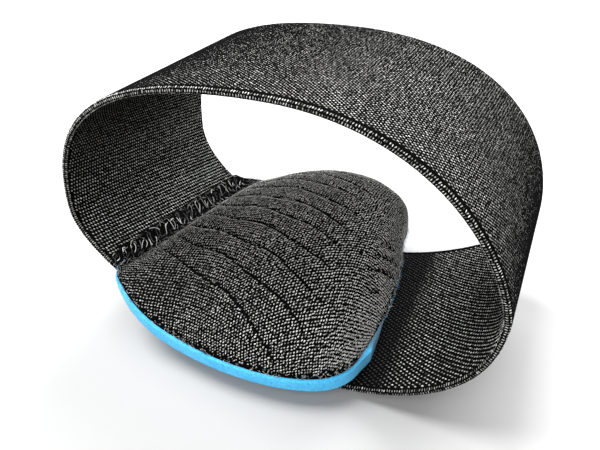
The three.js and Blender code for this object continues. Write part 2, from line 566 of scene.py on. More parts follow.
@dataclass
class LoopForm:
    """The closed loop of the band, blended from its near edge to its far one."""

    width: float = 50.0
    wall: float = 1.8
    floor_left: float = -7.0
    floor_right: float = 11.0
    left_handle: float = 7.0
    right_handle: float = 10.0
    near: Edge = Edge(
        right=Turn(45.4, 28.6, 21.9, 3.9),
        top=Turn(3.8, 58.5, 34.2, 36.9),
        left=Turn(-45.8, 26.3, 19.4, 12.9),
    )
    far: Edge = Edge(
        right=Turn(45.8, 23.3, 11.0, 9.2),
        top=Turn(-0.5, 58.3, 41.6, 38.0),
        left=Turn(-45.4, 27.7, 19.5, 16.7),
    )
    curve_steps: int = 96
    fine_steps: int = 600

    def _curve(self, knots: Sequence[tuple[float, float]]) -> Array:
        """Points at equal distances along a Bezier curve.

        Args:
            knots: Its start, its two handles and its end.

        Returns:
            A row for each point but the last.
        """
        p0, p1, p2, p3 = (np.array(knot, float) for knot in knots)
        t = np.linspace(0, 1, self.fine_steps)[:, None]
        fine = (1 - t) ** 3 * p0 + 3 * (1 - t) ** 2 * t * p1 + 3 * (1 - t) * t**2 * p2 + t**3 * p3
        run = run_length(fine)
        stops = np.linspace(0, run[-1], self.curve_steps + 1)[:-1]
        return np.column_stack([np.interp(stops, run, fine[:, axis]) for axis in (0, 1)])

    def _edge_line(self, edge: Edge) -> Array:
        """Points once round an edge, from the right end of the floor run.

        Args:
            edge: The edge's turns.

        Returns:
            A row for each point.
        """
        floor = self.wall / 2
        right, top, left = edge.right, edge.top, edge.left
        side, crown, heel = ((turn.x, turn.z) for turn in (right, top, left))
        start, end = (self.floor_right, floor), (self.floor_left, floor)
        third = (self.floor_right - self.floor_left) / 3
        runs = [
            [start, (start[0] + self.right_handle, floor), (right.x, right.z - right.before), side],
            [side, (right.x, right.z + right.after), (top.x + top.before, top.z), crown],
            [crown, (top.x - top.after, top.z), (left.x, left.z + left.before), heel],
            [heel, (left.x, left.z - left.after), (end[0] - self.left_handle, floor), end],
            [end, (end[0] + third, floor), (start[0] - third, floor), start],
        ]
        return np.concatenate([self._curve(knots) for knots in runs])

    @cached_property
    def stations(self) -> Array:
        """Near place, near way out, far place and far way out, closed on the first station."""
        columns = []
        for edge in (self.near, self.far):
            line = self._edge_line(edge)
            step = np.roll(line, -1, axis=0) - np.roll(line, 1, axis=0)
            columns += [line, unit(np.column_stack([step[:, 1], -step[:, 0]]))]
        table = np.hstack(columns)
        return np.vstack([table, table[:1]])

    @cached_property
    def runs(self) -> Array:
        """Distance of each station along the middle of the band."""
        return run_length((self.stations[:, 0:2] + self.stations[:, 4:6]) / 2)

    @property
    def length(self) -> float:
        """The band's length once round."""
        return float(self.runs[-1])

    def place(self, run: Array, across: Array, out: Array) -> Array:
        """Places on the band.

        Args:
            run: Distance round the loop.
            across: Distance from the middle of the width, towards the far edge.
            out: Distance out of the middle of the wall.

        Returns:
            Points in millimetres.
        """
        wrapped = np.mod(run, self.length)
        columns = [np.interp(wrapped, self.runs, self.stations[:, k]) for k in range(self.stations.shape[1])]
        near, near_out, far, far_out = (np.stack(columns[k : k + 2], axis=-1) for k in (0, 2, 4, 6))
        share = (across / self.width + 0.5)[..., None]
        middle = near * (1 - share) + far * share
        way = unit(near_out * (1 - share) + far_out * share)
        flat = middle + way * out[..., None]
        return np.stack([flat[..., 0], across, flat[..., 1]], axis=-1)

    def axes(self, run: Array, across: Array, out: Array) -> tuple[Array, Array, Array]:
        """Ways at places on the band.

        Args:
            run, across, out: The places, as place takes them.

        Returns:
            Unit vectors along the loop, across it and out of it.
        """
        step = 0.05
        along = unit(self.place(run + step, across, out) - self.place(run - step, across, out))
        over = unit(self.place(run, across + step, out) - self.place(run, across - step, out))
        return along, over, unit(np.cross(over, along))


@dataclass(frozen=True)
class Weave:
    """How the yarn floats lie on one stretch of one face of the band.

    Args:
        name: What the stretch is called.
        face: The face that it is on.
        start, end: Where it starts and ends round the loop.
        row_pitch: Distance between rows, along the loop.
        float_pitch: Distance between floats in a row.
        slant_deg: How far a float turns from the way along the loop.
        half_length, half_width: Sizes of a float.
        margins: How far the first floats lie from the band's near and far edges.
        tone_shape: The two powers of the spread of tones, from dark to light.
        painted_shade: Share of the tones that is left where shade is painted on the floats.
        painted_shade_span: Where the painted shade starts and stops fading, round the loop.
        seed: The seed of its small irregularities.
        shift: How far each row is moved along from the one before, as a share of the float pitch.
        skew: How far a row leans along the loop for each millimetre across it.
    """

    name: str
    face: Face
    start: float
    end: float
    row_pitch: float
    float_pitch: float
    slant_deg: float
    half_length: float
    half_width: float
    margins: tuple[float, float]
    tone_shape: tuple[float, float]
    # Painted shade: the share of the float tones kept where shade is painted, and the runs over which it
    # fades out.
    painted_shade: float
    painted_shade_span: tuple[float, float]
    seed: int
    shift: float = 0.5
    skew: float = 0.0

    def light(self, run: Array) -> Array:
        """Painted shade: share of the tones that is left at each place round the loop."""
        return self.painted_shade + (1 - self.painted_shade) * smoothstep(run, *self.painted_shade_span)


# Painted shade on the right outer wall: its floats keep 0.84 of their tone below run 70 and reach full tone
# at run 119; outer_left has none.
OUTER_WEAVE = Weave(
    "outer_right", Face.OUTER, start=0.0, end=119.65, row_pitch=0.54, float_pitch=0.8, slant_deg=22.0,
    half_length=0.26, half_width=0.175, margins=(1.8, 1.0), tone_shape=(3.0, 2.6), painted_shade=0.84,
    painted_shade_span=(70.0, 119.0), seed=11,
)


@dataclass
class ElasticBand:
    """The woven elastic loop: its ground, the floats of both faces and the beaded selvedges.

    The tooth rows are angles round a bead, shares of the tooth pitch that they start at, and lightness.
    """

    form: LoopForm = field(default_factory=LoopForm)
    ground_level: float = 0.55
    float_height: float = 0.1
    run_jitter: float = 0.055
    across_jitter: float = 0.035
    slant_spread_deg: float = 7.0
    size_spread: float = 0.15
    cord_pitch: float = 0.4
    cord_height: float = 0.124
    bead_radius: float = 0.56
    tooth_pitch: float = 0.5
    tooth_size: tuple[float, float, float] = (0.24, 0.11, 0.08)
    tooth_spread: float = 0.2
    tooth_turn_deg: float = 4.0
    tooth_jitter: float = 0.07
    tooth_lean: tuple[float, float] = (0.15, 0.2)
    tooth_tones: tuple[float, float] = (1.5, 1.2)
    tooth_rows: tuple[tuple[float, float, float], ...] = (
        (-66.0, 0.0, 0.85), (0.0, 0.25, 0.8), (66.0, 0.0, 0.95)
    )
    groove_width: float = 0.2
    groove_level: float = 0.25
    body_steps: int = 170
    bead_steps: int = 10
    field_steps: int = 24
    seed: int = 14
    weaves: tuple[Weave, ...] = (
        OUTER_WEAVE,
        replace(OUTER_WEAVE, name="outer_left", start=119.65, end=239.3, painted_shade=1.0, seed=15),
        # Painted shadow of the pad's free end: these floats are almost black up to run 14 and reach full
        # tone at run 19.
        Weave(
            "inner_right", Face.INNER, start=-8.0, end=104.0, row_pitch=0.68, float_pitch=1.05,
            slant_deg=-22.0, half_length=0.25, half_width=0.21, margins=(1.4, 0.8), tone_shape=(1.7, 1.2),
            painted_shade=0.03, painted_shade_span=(14.0, 19.0), seed=12,
        ),
        # Painted shade under the top of the loop: these floats are black up to run 141 and reach full tone
        # at run 178.
        Weave(
            "inner_left", Face.INNER, start=104.0, end=231.3, row_pitch=0.84, float_pitch=0.75,
            slant_deg=40.0, half_length=0.27, half_width=0.19, margins=(1.2, 0.7), tone_shape=(3.4, 1.8),
            painted_shade=0.0, painted_shade_span=(141.0, 178.0), seed=13, shift=-0.16, skew=0.17,
        ),
    )

    @property
    def bead_middle(self) -> float:
        """Distance of a bead's middle from the middle of the width."""
        return self.form.width / 2 - self.bead_radius - self.tooth_size[2]

    @property
    def field_edge(self) -> float:
        """Distance of the field's edge, inside the groove, from the middle of the width."""
        return self.bead_middle - self.bead_radius - self.groove_width

    def section(self) -> Array:
        """The outline of the ground.

        Returns:
            Places across the width and out of the wall, the last on the first.
        """
        turn = np.linspace(-math.pi / 2, math.pi / 2, self.bead_steps)
        bead = np.column_stack([np.cos(turn), np.sin(turn)]) * self.bead_radius + [self.bead_middle, 0]
        groove = self.bead_middle - self.bead_radius
        dip = np.array([[groove, self.groove_level]])
        half = int(self.field_edge * 2 / self.cord_pitch)
        cords = np.arange(half, -half - 1, -1)
        level = self.ground_level + self.cord_height * (cords % 2)
        ribbed = np.column_stack([cords * self.cord_pitch / 2, level])
        across = np.linspace(self.field_edge, -self.field_edge, self.field_steps)
        plain = np.column_stack([across, np.full_like(across, self.ground_level)])
        outer = np.vstack([dip, ribbed, dip * (-1, 1)])
        inner = np.vstack([dip, plain, dip * (-1, 1)])
        return np.vstack([bead, outer, -bead, -inner, bead[:1]])

    def build_ground(self) -> bpy.types.Object:
        """The dark cloth under the floats.

        Returns:
            The new object.
        """
        section = self.section()
        runs = np.linspace(0, self.form.length, self.body_steps + 1)
        run, column = np.meshgrid(runs, np.arange(len(section)), indexing="ij")
        points = self.form.place(run, section[column, 0], section[column, 1])
        return grid_piece("band_ground", points, closed=True)

    def build_floats(self, weave: Weave) -> bpy.types.Object:
        """The yarn floats of one stretch, in rows across the band.

        Args:
            weave: The stretch.

        Returns:
            The new object.
        """
        draw = np.random.default_rng(weave.seed)
        rows = 2 * round((weave.end - weave.start) / (2 * weave.row_pitch))
        count = int((self.form.width - sum(weave.margins)) / weave.float_pitch)
        row, column = np.meshgrid(np.arange(rows), np.arange(count), indexing="ij")
        across = (column + (row * weave.shift) % 1.0).ravel() * weave.float_pitch
        across = across + weave.margins[0] - self.form.width / 2
        run = weave.start + (row.ravel() + 0.5) * (weave.end - weave.start) / rows + weave.skew * across
        run = run + draw.normal(0, self.run_jitter, run.shape)
        across = across + draw.normal(0, self.across_jitter, run.shape)
        sign = weave.face.value
        out = np.full_like(run, sign * self.ground_level)
        along, over, normal = self.form.axes(run, across, out)
        slant = np.radians(weave.slant_deg + draw.normal(0, self.slant_spread_deg, run.shape))[:, None]
        size = (weave.half_length, weave.half_width, self.float_height)
        floats = Strands(
            centres=self.form.place(run, across, out),
            along=unit(along * np.cos(slant) + over * np.sin(slant)),
            out=normal * sign,
            sizes=varied(size, self.size_spread, draw, len(run), most=1.35),
            tone=draw.beta(*weave.tone_shape, len(run)) * weave.light(run),
        )
        return floats.piece(f"band_floats_{weave.name}")

    def build_teeth(self) -> bpy.types.Object:
        """The short picks that cross both selvedge beads, in rows round each bead.

        Returns:
            The new object.
        """
        draw = np.random.default_rng(self.seed)
        count = round(self.form.length / self.tooth_pitch)
        rows = np.array(self.tooth_rows)
        index, row, edge = np.meshgrid(np.arange(count), np.arange(len(rows)), (-1.0, 1.0), indexing="ij")
        index, edge = index.ravel(), edge.ravel()
        angle, phase, bright = rows[row.ravel()].T
        turn = np.radians(angle + draw.normal(0, self.tooth_turn_deg, angle.shape))
        run = (index + phase + draw.normal(0, self.tooth_jitter, index.shape)) * self.form.length / count
        across = edge * (self.bead_middle + self.bead_radius * np.cos(turn))
        out = self.bead_radius * np.sin(turn)
        along, over, normal = self.form.axes(run, across, out)
        outward = over * (edge * np.cos(turn))[:, None] + normal * np.sin(turn)[:, None]
        teeth = Strands(
            centres=self.form.place(run, across, out),
            along=unit(np.cross(outward, along) + draw.normal(*self.tooth_lean, (len(run), 1)) * along),
            out=outward,
            sizes=varied(self.tooth_size, self.tooth_spread, draw, len(run)),
            tone=draw.beta(*self.tooth_tones, len(run)) * bright,
        )
        return teeth.piece("band_selvedge_teeth")

    def build(self) -> None:
        """Makes and dresses every piece of the band."""
        node = "elastic_band"
        yarn = YarnFinish("elastic_yarn", dark=(0.02,) * 3, light=(0.78, 0.775, 0.75)).material()
        ground = GroundFinish("elastic_ground", dark=(0.0015,) * 3, light=(0.005,) * 3).material()
        body = dress(self.build_ground(), ground, node)
        others = [dress(self.build_floats(weave), yarn, node) for weave in self.weaves]
        others.append(dress(self.build_teeth(), yarn, node))
        flat = (self.form.width * MM, self.form.length * MM)


# The pad


@dataclass(frozen=True)
class PadRow:
    """One slanted section of the pad, from its near end to its far end."""

    x_near: float
    near: float
    x_far: float
    far: float
    rim: float
    crown: float


@dataclass
class PadForm:
    """The arch pad's form, from the flange on the band, across the seam, to the free end."""

    rows: tuple[PadRow, ...] = (
        PadRow(-37.4, -24.8, -34.6, 24.4, 0.0, 1.0),
        PadRow(-34.7, -25.4, -32.2, 24.8, 0.8, 0.6),
        PadRow(-32.8, -28.1, -29.8, 25.8, 2.0, 0.7),
        PadRow(-30.4, -29.9, -26.4, 27.4, 3.0, 2.8),
        PadRow(-25.0, -32.1, -21.4, 30.4, 3.3, 9.0),
        PadRow(-16.0, -33.3, -14.0, 33.0, 3.3, 14.8),
        PadRow(-5.0, -34.1, -5.0, 34.1, 3.0, 19.0),
        PadRow(5.0, -33.5, 4.0, 33.2, 2.9, 20.6),
        PadRow(12.6, -31.7, 11.0, 30.8, 2.9, 19.9),
        PadRow(18.2, -28.8, 16.6, 27.6, 3.0, 16.3),
        PadRow(21.2, -24.4, 17.8, 21.2, 3.1, 9.2),
        PadRow(22.0, -18.5, 19.6, 13.4, 3.1, 0.0),
    )
    base_level: float = 4.4
    base_slope: float = 0.62
    base_knee: float = -19.85
    base_softness: float = 3.2
    arch_power: float = 2.4
    end_bow: float = 1.2
    bow_sections: tuple[float, float] = (8.5, 11.0)
    flange_sections: tuple[float, float] = (0.6, 2.0)
    free_end_x: tuple[float, float] = (6.0, 21.0)

    @cached_property
    def table(self) -> Array:
        """The sections as columns of numbers."""
        return np.array([[r.x_near, r.near, r.x_far, r.far, r.rim, r.crown] for r in self.rows])

    def base(self, x: Array) -> Array:
        """Height of the pad's underside."""
        rise = self.base_slope * (self.base_knee - x)
        return self.base_level + (rise + np.hypot(rise, self.base_softness)) / 2

    def section(self, at: Array) -> tuple[Array, ...]:
        """The columns between the sections, on smooth curves through them.

        Args:
            at: Section numbers with fractions.

        Returns:
            The values of each column.
        """
        last = len(self.table) - 1
        row = np.clip(np.floor(at).astype(int), 0, last - 1)
        share = (at - row)[..., None]
        before, here, after, beyond = (self.table[np.clip(row + k, 0, last)] for k in (-1, 0, 1, 2))
        start, end = (after - before) / 2, (beyond - here) / 2
        bend = 3 * (after - here) - 2 * start - end
        twist = 2 * (here - after) + start + end
        values = here + share * (start + share * (bend + share * twist))
        return tuple(np.moveaxis(values, -1, 0))

    def top(
        self, at: Array, side: Array, inset: float = 0.0, far_inset: float = 0.0, drop: float = 0.0
    ) -> Array:
        """Places on top of the pad.

        Args:
            at: Section number with a fraction.
            side: From -1 on the near edge to 1 on the far edge.
            inset: How far the near and free edges are drawn in, except at the flange.
            far_inset: How far the far edge is drawn in.
            drop: How far the crown is lowered.

        Returns:
            Points in millimetres.
        """
        x_near, near, x_far, far, rim, crown = self.section(at)
        away = smoothstep(at, *self.flange_sections)
        back = inset * smoothstep(x_near, *self.free_end_x)
        bow = self.end_bow * smoothstep(at, *self.bow_sections) * (1 - side**2)
        share = (side + 1) / 2
        x = x_near + (x_far - x_near) * share - back + bow
        y = near + inset * away + (far - near - inset * away - far_inset) * share
        arch = np.sqrt(np.maximum(1 - np.abs(side) ** self.arch_power, 0))
        return np.stack([x, y, self.base(x) + rim + np.maximum(crown - drop, 0) * arch], axis=-1)


@dataclass
class ClothGrid:
    """A grid of points over the pad's top, even along its middle line and along each section.

    Args:
        points: Places by row and column.
        runs: Distance of each row along the middle line.
        overs: Distance of each point from the middle line, towards the far edge.
    """

    points: Array
    runs: Array
    overs: Array

    FINE_ROWS = 1200
    FINE_SIDES = 801

    @classmethod
    def lay(cls, form: PadForm, rows: int, columns: int, inset: float) -> "ClothGrid":
        """Lays the grid on the form.

        Args:
            form: The pad's form.
            rows: Number of sections along the pad.
            columns: Number of places on each section.
            inset: How far the cloth's edge lies inside the pad's outline.

        Returns:
            The grid.
        """
        fine = np.linspace(0, len(form.rows) - 1, cls.FINE_ROWS)
        run = run_length(form.top(fine, np.zeros_like(fine), inset))
        runs = np.linspace(0, run[-1], rows)
        sides = np.sin(np.linspace(-math.pi / 2, math.pi / 2, cls.FINE_SIDES))
        middle = len(sides) // 2
        share = np.linspace(-1, 1, columns)
        points = np.empty((rows, columns, 3))
        overs = np.empty((rows, columns))
        for i, at in enumerate(np.interp(runs, run, fine)):
            dense = form.top(np.full_like(sides, at), sides, inset)
            arc = run_length(dense)
            arc = arc - arc[middle]
            overs[i] = np.where(share < 0, -share * arc[0], share * arc[-1])
            points[i] = np.column_stack([np.interp(overs[i], arc, dense[:, axis]) for axis in range(3)])
        return cls(points, runs, overs)

    def normals(self) -> Array:
        """Unit vectors out of the cloth at each point."""
        return unit(np.cross(np.gradient(self.points, axis=0), np.gradient(self.points, axis=1)))

    def edge_distance(self, run: Array, over: Array) -> Array:
        """Distance from the near, far and free edges.

        Args:
            run, over: Places on the cloth.

        Returns:
            Distances, below zero outside.
        """
        near = np.interp(run, self.runs, self.overs[:, 0])
        far = np.interp(run, self.runs, self.overs[:, -1])
        return np.minimum(np.minimum(over - near, far - over), self.runs[-1] - run)

    def frames(self, run: Array, over: Array) -> tuple[Array, Array, Array, Array]:
        """Places on the cloth, and the ways there.

        Args:
            run: Distance along the middle line.
            over: Distance from the middle line.

        Returns:
            The places, then unit vectors along the cloth, across it and out of it.
        """
        row = np.interp(run, self.runs, np.arange(len(self.runs)))
        near = np.interp(run, self.runs, -self.overs[:, 0])
        far = np.interp(run, self.runs, self.overs[:, -1])
        share = over / np.where(over < 0, near, far)
        column = (share + 1) / 2 * (self.points.shape[1] - 1)
        forward = unit(bilinear(np.gradient(self.points, axis=0), row, column))
        normal = unit(np.cross(forward, bilinear(np.gradient(self.points, axis=1), row, column)))
        return bilinear(self.points, row, column), forward, np.cross(normal, forward), normal


@dataclass(frozen=True)
class Creases:
    """Sewn creases across the cover, straight and parallel in plan."""

    first: float = -29.0
    spacing: float = 5.27
    count: int = 10
    slope: float = -0.35
    depth: float = 0.55
    gap: float = 0.24
    parted: float = 0.9
    start: float = -28.0
    end: float = 15.0
    fade: float = 6.0
    wander: float = 0.06
    wander_length: float = 2.7
    wander_shift: float = 2.1
    edge_fade: tuple[float, float] = (2.0, 5.0)

    def away(self, points: Array) -> Array:
        """Distance in plan to the nearest crease.

        Args:
            points: Places on the cloth.

        Returns:
            Distances, with a sign for the side.
        """
        level = (points[..., 1] - self.slope * points[..., 0] - self.first) / self.spacing
        phase = points[..., 0] / self.wander_length + np.round(level) * self.wander_shift
        level = level + self.wander * np.sin(phase)
        nearest = np.clip(np.round(level), 0, self.count - 1)
        return (level - nearest) * self.spacing / math.hypot(1.0, self.slope)

    def reach(self, points: Array, edge: Array) -> Array:
        """How strongly creases show.

        Args:
            points: Places on the cloth.
            edge: Their distances from the cloth's edge.

        Returns:
            Shares from 0 to 1.
        """
        x = points[..., 0]
        shown = smoothstep(x, self.start, self.start + self.fade)
        shown = shown * (1 - smoothstep(x, self.end - self.fade, self.end))
        return shown * smoothstep(edge, *self.edge_fade)

    def mark(self, points: Array, edge: Array, width: float) -> Array:
        """How strongly a place is in a crease of this width, from 0 to 1."""
        return self.reach(points, edge) * bell(self.away(points), width)

    def part(self, points: Array, edge: Array) -> Array:
        """How far stitches move away from the crease beside them.

        Args:
            points: Places on the cloth.
            edge: Their distances from the cloth's edge.

        Returns:
            Distances across the cloth.
        """
        away = self.away(points)
        share = np.clip(1 - np.abs(away) / self.parted, 0.0, 1.0)
        return np.sign(away) * self.gap * share * self.reach(points, edge)


@dataclass(frozen=True)
class Pucker:
    """A short gather that runs down the pad's free end, as cloth places of its two ends."""

    run: float
    over: float
    end_run: float
    end_over: float

    FADE_IN = (-0.2, 0.4)
    FADE_OUT = (0.8, 1.1)

    def mark(self, run: Array, over: Array, width: float) -> Array:
        """How strongly places are in the gather.

        Args:
            run, over: Places on the cloth.
            width: The gather's width.

        Returns:
            Shares from 0 to 1.
        """
        step = np.array([self.end_run - self.run, self.end_over - self.over])
        share = ((run - self.run) * step[0] + (over - self.over) * step[1]) / (step @ step)
        off = np.hypot(run - self.run - share * step[0], over - self.over - share * step[1])
        shown = smoothstep(share, *self.FADE_IN) * (1 - smoothstep(share, *self.FADE_OUT))
        return bell(off, width) * shown


@dataclass(frozen=True)
class SeamThread:
    """One thread of the seam's repeat.

    Args:
        tone: Its lightness, from 0 to 1.
        radius: Half its thickness.
        start, knee, end: Its places: share of the way to the notches, distance along the seam, height.
    """

    tone: float
    radius: float
    start: tuple[float, float, float]
    knee: tuple[float, float, float]
    end: tuple[float, float, float]

    def route(self, share: Array, jitter: Array) -> Array:
        """Places down the thread, once its start, knee and end are moved by the jitter."""
        start, knee, end = np.array([self.start, self.knee, self.end]) + jitter
        return (1 - share) ** 2 * start + 2 * share * (1 - share) * knee + share**2 * end


@dataclass(frozen=True)
class Seam:
    """The seam that holds the cover's flange to the band: knots, crossing threads and a line of notches."""

    pitch: float = 2.55
    first: float = -23.6
    count: int = 19
    line_over: tuple[float, ...] = (-24.5, -16.0, -6.0, 8.0, 20.0, 25.0)
    line_run: tuple[float, ...] = (3.4, 5.6, 7.4, 6.9, 5.4, 4.8)
    notch_over: float = 0.7
    notch_depth: float = 0.9
    notch_width: float = 0.45
    notch_length: float = 1.0
    bare_width: float = 0.6
    trough_depth: float = 0.5
    trough_place: float = 0.6
    trough_width: float = 0.25
    hidden: float = 0.85
    hidden_from: tuple[float, float] = (0.05, 0.2)
    hidden_to: tuple[float, float] = (0.9, 1.1)
    # Painted shade beside the seam: the knit keeps the dimmed share of its tone, full again over dimmed_to,
    # as shares of the way to the notches.
    dimmed: float = 0.3
    dimmed_to: tuple[float, float] = (1.0, 2.2)
    thread_points: int = 7
    thread_jitter: tuple[float, float, float] = (0.05, 0.35, 0.06)
    tone_spread: float = 0.4
    seed: int = 31
    threads: tuple[SeamThread, ...] = (
        SeamThread(1.00, 0.075, (0.17, -0.5, 0.20), (0.12, 0.0, 0.60), (0.12, 0.5, 0.20)),
        SeamThread(0.40, 0.050, (0.16, 0.4, 0.10), (0.22, 0.7, 0.25), (0.20, 1.1, 0.05)),
        SeamThread(0.04, 0.055, (0.22, 0.4, 0.10), (0.36, 0.0, 0.30), (0.55, -0.8, 0.05)),
        SeamThread(0.03, 0.055, (0.20, -0.3, 0.10), (0.40, -0.9, 0.30), (0.60, -1.4, 0.05)),
        SeamThread(0.08, 0.050, (0.45, 0.8, 0.10), (0.55, 0.2, 0.30), (0.66, -0.5, 0.05)),
        SeamThread(0.90, 0.040, (0.70, 0.9, 0.10), (0.87, 0.1, 0.15), (1.04, -0.7, 0.02)),
        SeamThread(0.30, 0.035, (0.80, -0.3, 0.05), (0.90, -0.8, 0.15), (1.02, -1.4, 0.02)),
    )

    def depth(self, run: Array, over: Array) -> Array:
        """Share of the way from the cloth's start to the line of notches."""
        return run / self.line(over)

    def line(self, over: Array) -> Array:
        """How far along the cloth the line of notches lies."""
        return np.interp(over, self.line_over, self.line_run)

    def notches(self) -> Array:
        """Places of the notches along the seam."""
        return self.first + self.notch_over + self.pitch * np.arange(self.count)

    def notch(self, run: Array, over: Array, width: float) -> Array:
        """How strongly a place is in a notch of this width, from 0 to 1."""
        nearest = over - self.notches()[np.abs(over[..., None] - self.notches()).argmin(axis=-1)]
        return bell(nearest, width) * bell(run - self.line(over), self.notch_length)

    def dent(self, run: Array, over: Array) -> Array:
        """How far the seam pulls the cloth down."""
        trough = bell(self.depth(run, over) - self.trough_place, self.trough_width)
        return self.notch_depth * self.notch(run, over, self.notch_width) + self.trough_depth * trough

    def bare(self, run: Array, over: Array) -> Array:
        """Share of the knit that the seam hides.

        Args:
            run, over: Places on the cloth.

        Returns:
            Shares from 0 to 1.
        """
        depth = self.depth(run, over)
        sewn = smoothstep(depth, *self.hidden_from) * (1 - smoothstep(depth, *self.hidden_to))
        return np.maximum(self.hidden * sewn, self.notch(run, over, self.bare_width))

    def painted_shade(self, run: Array, over: Array) -> Array:
        """Painted shade: how light the knit is left in the valley beside the seam, from 0 to 1."""
        return self.dimmed + (1 - self.dimmed) * smoothstep(self.depth(run, over), *self.dimmed_to)

    def build(self, grid: ClothGrid) -> bpy.types.Object:
        """Lays the threads over the cloth.

        Args:
            grid: The cover.

        Returns:
            The new object.
        """
        draw = np.random.default_rng(self.seed)
        share = np.linspace(0, 1, self.thread_points)[:, None]
        paths, tones = [], []
        for middle in self.notches() - self.notch_over:
            for thread in self.threads:
                route = thread.route(share, draw.normal(0, 1.0, (3, 3)) * self.thread_jitter)
                over = route[:, 1] + middle
                place, _, _, normal = grid.frames(route[:, 0] * self.line(over), over)
                paths.append(place + normal * route[:, 2:])
                tones.append(np.clip(thread.tone * draw.normal(1.0, self.tone_spread), 0.02, 1.0))
        radii = np.tile([thread.radius for thread in self.threads], self.count)
        return thread_piece("seam_threads", np.array(paths), radii, np.array(tones))


@dataclass(frozen=True)
class Billow:
    """A cloth run that swells the cover between the places where it is held, on an enlarged copy."""

    scale: float = 10.0
    thin: int = 2
    pressure: float = 4.0
    frames: int = 20
    cap: float = 0.4
    quick_share: float = 0.7

    def swell(self, grid: ClothGrid, held: Array) -> Array:
        """Runs the cloth.

        Args:
            grid: The cover before it swells.
            held: How firmly each point is held, from 0 to 1.

        Returns:
            How far each point moves out, in millimetres.
        """
        start = grid.points[:: self.thin, :: self.thin]
        cloth = grid_piece("cover_cloth", start * self.scale)
        rest = np.empty(len(cloth.data.vertices) * 3)
        cloth.data.vertices.foreach_get("co", rest)
        order = self.order(start * self.scale * MM, rest.reshape(-1, 3))
        self.hold(cloth, held[:: self.thin, :: self.thin].reshape(-1)[order])
        after = self.run(cloth)
        bpy.data.objects.remove(cloth)
        moved = np.empty((len(order), 3))
        moved[order] = (after - rest).reshape(-1, 3) / (self.scale * MM)
        out = (moved.reshape(start.shape) * grid.normals()[:: self.thin, :: self.thin]).sum(axis=-1)
        LOG.info("cover swells by up to %.2f mm", out.max())
        row, column = np.indices(held.shape) / self.thin
        return np.clip(bilinear(out[..., None], row, column)[..., 0], 0.0, self.cap)

    def hold(self, cloth: bpy.types.Object, firm: Array) -> None:
        """Makes a mesh a cloth under pressure.

        Args:
            cloth: The mesh's object.
            firm: How firmly each point is held, from 0 to 1.
        """
        group = cloth.vertex_groups.new(name="held")
        for vertex, share in enumerate(firm):
            group.add([vertex], float(share), "REPLACE")
        settings = cloth.modifiers.new("swell", "CLOTH").settings
        settings.vertex_group_mass = group.name
        settings.use_pressure = True
        settings.uniform_pressure_force = self.pressure
        settings.effector_weights.gravity = 0.0

    def run(self, cloth: bpy.types.Object) -> Array:
        """Runs the frames.

        Args:
            cloth: The cloth's object.

        Returns:
            Its points' coordinates after the last frame, in one row.
        """
        scene = bpy.context.scene
        for number in range(1, self.frames + 1):
            scene.frame_set(number)
        ended = cloth.evaluated_get(bpy.context.evaluated_depsgraph_get()).data
        after = np.empty(len(ended.vertices) * 3)
        ended.vertices.foreach_get("co", after)
        scene.frame_set(1)
        return after

    @staticmethod
    def order(cells: Array, places: Array) -> Array:
        """Finds the grid cell of each mesh point.

        Args:
            cells: Places by row and column.
            places: Places of the mesh points.

        Returns:
            The number of each point's cell.
        """
        flat = cells.reshape(-1, 3)
        by_cell = np.lexsort(np.round(flat, 6).T)
        by_place = np.lexsort(np.round(places, 6).T)
        found = np.empty(len(flat), int)
        found[by_place] = by_cell
        return found


